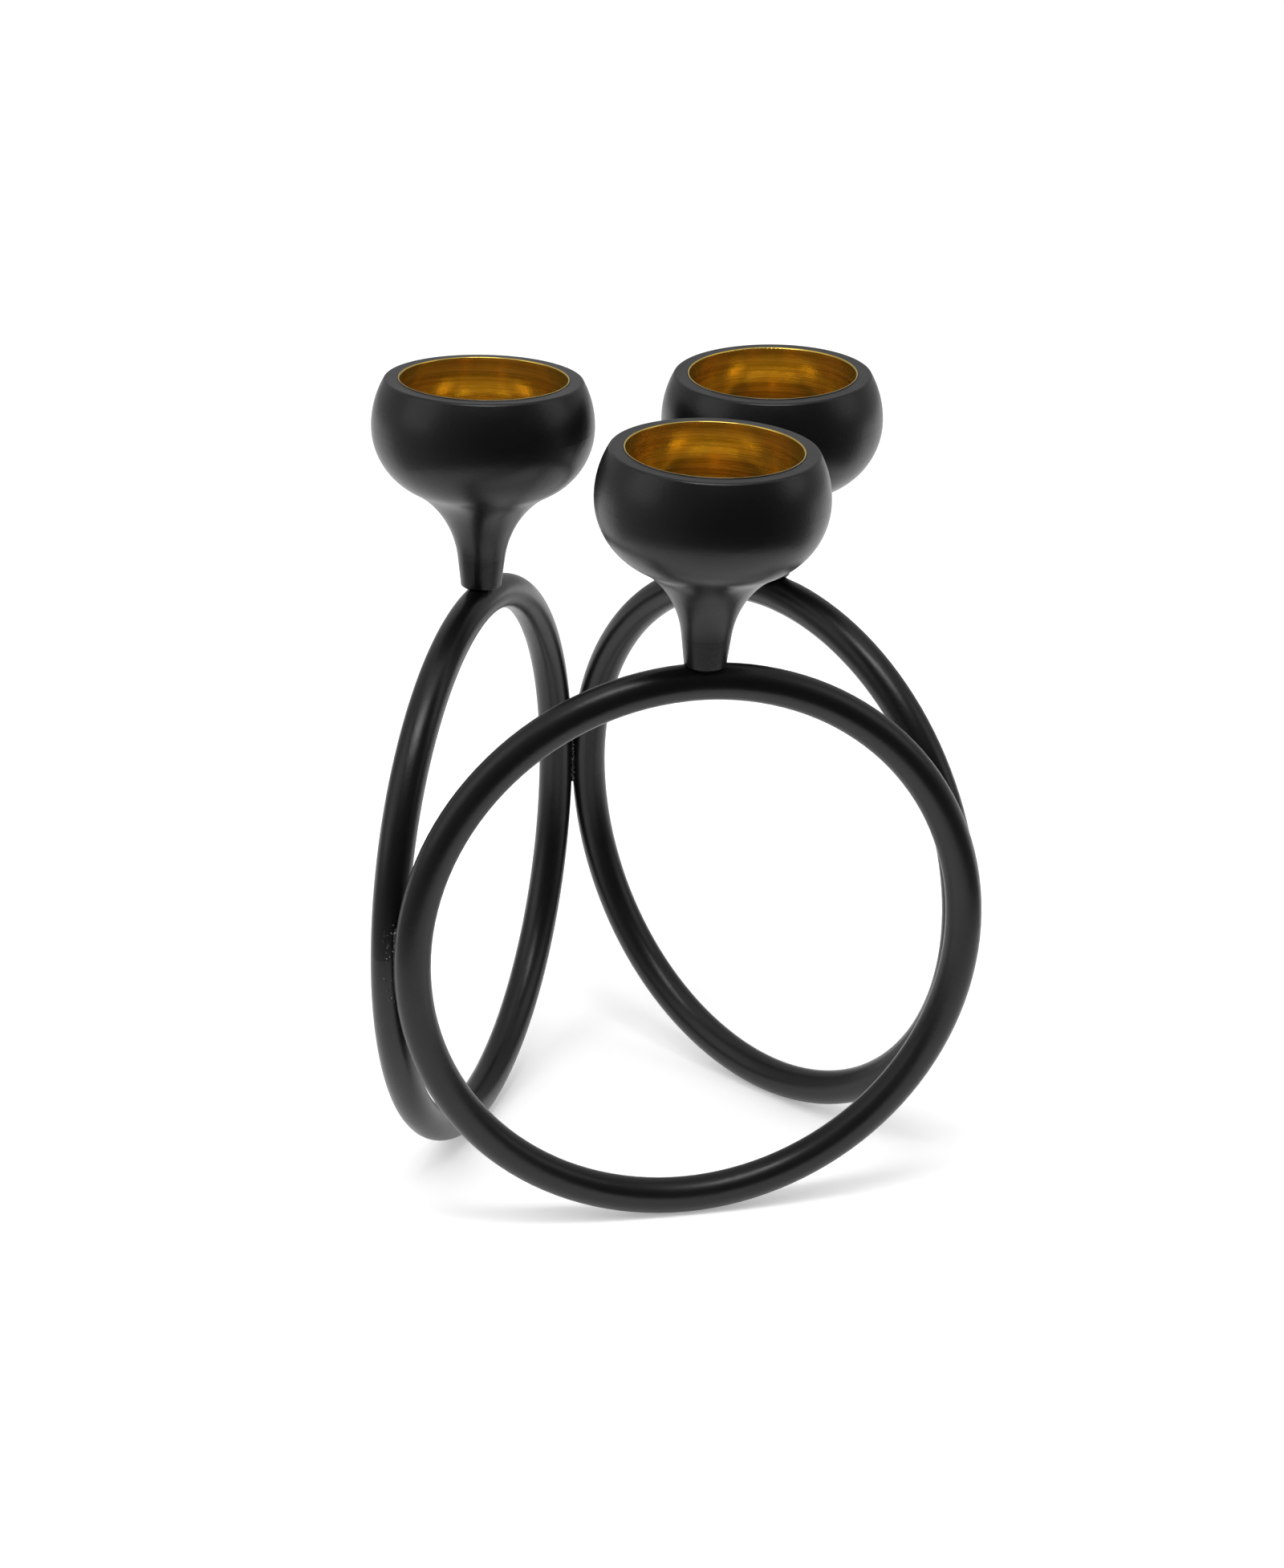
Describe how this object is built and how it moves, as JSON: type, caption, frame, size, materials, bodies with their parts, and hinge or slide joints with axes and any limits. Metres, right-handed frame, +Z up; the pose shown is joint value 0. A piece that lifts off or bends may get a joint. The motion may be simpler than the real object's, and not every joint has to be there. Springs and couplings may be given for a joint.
{
  "type": "three-arm candelabra",
  "caption": "Candelabra of round-bar rings standing on edge as an open triangle, each crowned by a turned cup with a brass liner that holds a tealight or a dinner candle.",
  "frame": {"origin": "on the surface it stands on, under the middle of its box", "axes": "+Z up; the front ring's open side faces -Y; +X to the right seen from the front"},
  "size_m": [0.1476, 0.1616, 0.1939],
  "materials": {
    "black_coat": "satin black coat on steel",
    "liner_brass": "spun, with fine turning lines",
    "stud_steel": "plain threaded stud"
  },
  "bodies": {
    "root": {"front_ring": "black_coat", "front_cup": "black_coat", "front_liner": "liner_brass", "front_stud": "stud_steel", "right_ring": "black_coat", "right_cup": "black_coat", "right_liner": "liner_brass", "right_stud": "stud_steel", "left_ring": "black_coat", "left_cup": "black_coat", "left_liner": "liner_brass", "left_stud": "stud_steel", "weld_front_right": "black_coat", "weld_right_left": "black_coat", "weld_left_front": "black_coat"}
  },
  "joints": []
}
